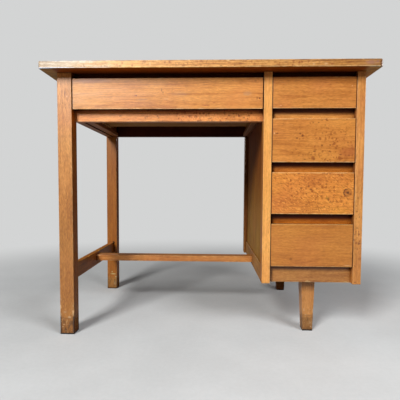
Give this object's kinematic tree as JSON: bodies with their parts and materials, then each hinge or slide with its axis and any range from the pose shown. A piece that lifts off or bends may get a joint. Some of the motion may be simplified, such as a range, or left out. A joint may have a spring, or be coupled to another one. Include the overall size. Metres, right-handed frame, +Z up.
{
  "type": "desk",
  "caption": "Wooden single-pedestal teacher desk: slab top, mortised leg frame, footrest stretcher, wide knee drawer and a frame-and-panel pedestal of handle-less drawers.",
  "frame": {"origin": "on the floor under the middle of the top", "axes": "+Z up; +X to the pedestal, on the sitter's right; +Y to the rear, so the drawers open along -Y"},
  "size_m": [0.912, 0.606, 0.76],
  "materials": {
    "top_board": "satin varnish, worn along the front edge",
    "frame_wood": "honey varnish over straight grain, dirty at the feet",
    "drawer_fronts": "honey varnish over wavy grain, small dark stains",
    "panels": "varnished plywood",
    "drawer_boxes": "bare pale wood",
    "plywood": "bare plywood",
    "runners": "bare wood, polished by use"
  },
  "bodies": {
    "carcass": {"centre_stretcher": "frame_wood", "desk_top": "top_board", "front_left_leg": "frame_wood", "front_top_rail": "frame_wood", "knee_drawer_left_runner": "runners", "knee_drawer_rail": "frame_wood", "knee_drawer_right_runner": "runners", "left_side_apron": "frame_wood", "left_side_stretcher": "frame_wood", "lower_divider_rail": "frame_wood", "middle_divider_rail": "frame_wood", "pedestal_back_panel": "panels", "pedestal_bottom_board": "frame_wood", "pedestal_front_bottom_rail": "frame_wood", "pedestal_front_foot": "frame_wood", "pedestal_left_bottom_rail": "frame_wood", "pedestal_left_panel": "panels", "pedestal_left_stile": "frame_wood", "pedestal_left_top_rail": "frame_wood", "pedestal_rear_foot": "frame_wood", "pedestal_rear_left_post": "frame_wood", "pedestal_rear_right_post": "frame_wood", "pedestal_right_bottom_rail": "frame_wood", "pedestal_right_panel": "panels", "pedestal_right_stile": "frame_wood", "pedestal_right_top_rail": "frame_wood", "rear_apron": "frame_wood", "rear_left_leg": "frame_wood", "second_drawer_left_runner": "runners", "second_drawer_right_runner": "runners", "third_drawer_left_runner": "runners", "third_drawer_right_runner": "runners", "top_drawer_left_runner": "runners", "top_drawer_right_runner": "runners", "upper_divider_rail": "frame_wood"},
    "knee_drawer": {"knee_drawer_front": "drawer_fronts", "knee_drawer_left_side": "drawer_boxes", "knee_drawer_right_side": "drawer_boxes", "knee_drawer_back": "drawer_boxes", "knee_drawer_bottom": "plywood"},
    "top_drawer": {"top_drawer_front": "drawer_fronts", "top_drawer_left_side": "drawer_boxes", "top_drawer_right_side": "drawer_boxes", "top_drawer_back": "drawer_boxes", "top_drawer_bottom": "plywood"},
    "second_drawer": {"second_drawer_front": "drawer_fronts", "second_drawer_left_side": "drawer_boxes", "second_drawer_right_side": "drawer_boxes", "second_drawer_back": "drawer_boxes", "second_drawer_bottom": "plywood"},
    "third_drawer": {"third_drawer_front": "drawer_fronts", "third_drawer_left_side": "drawer_boxes", "third_drawer_right_side": "drawer_boxes", "third_drawer_back": "drawer_boxes", "third_drawer_bottom": "plywood"},
    "bottom_drawer": {"bottom_drawer_front": "drawer_fronts", "bottom_drawer_left_side": "drawer_boxes", "bottom_drawer_right_side": "drawer_boxes", "bottom_drawer_back": "drawer_boxes", "bottom_drawer_bottom": "plywood"}
  },
  "joints": [
    {"name": "knee_drawer_slide", "type": "slide", "parent": "carcass", "child": "knee_drawer", "axis": [0, -1, 0], "range_m": [0, 0.28]},
    {"name": "top_drawer_slide", "type": "slide", "parent": "carcass", "child": "top_drawer", "axis": [0, -1, 0], "range_m": [0, 0.38]},
    {"name": "second_drawer_slide", "type": "slide", "parent": "carcass", "child": "second_drawer", "axis": [0, -1, 0], "range_m": [0, 0.38]},
    {"name": "third_drawer_slide", "type": "slide", "parent": "carcass", "child": "third_drawer", "axis": [0, -1, 0], "range_m": [0, 0.38]},
    {"name": "bottom_drawer_slide", "type": "slide", "parent": "carcass", "child": "bottom_drawer", "axis": [0, -1, 0], "range_m": [0, 0.38]}
  ]
}
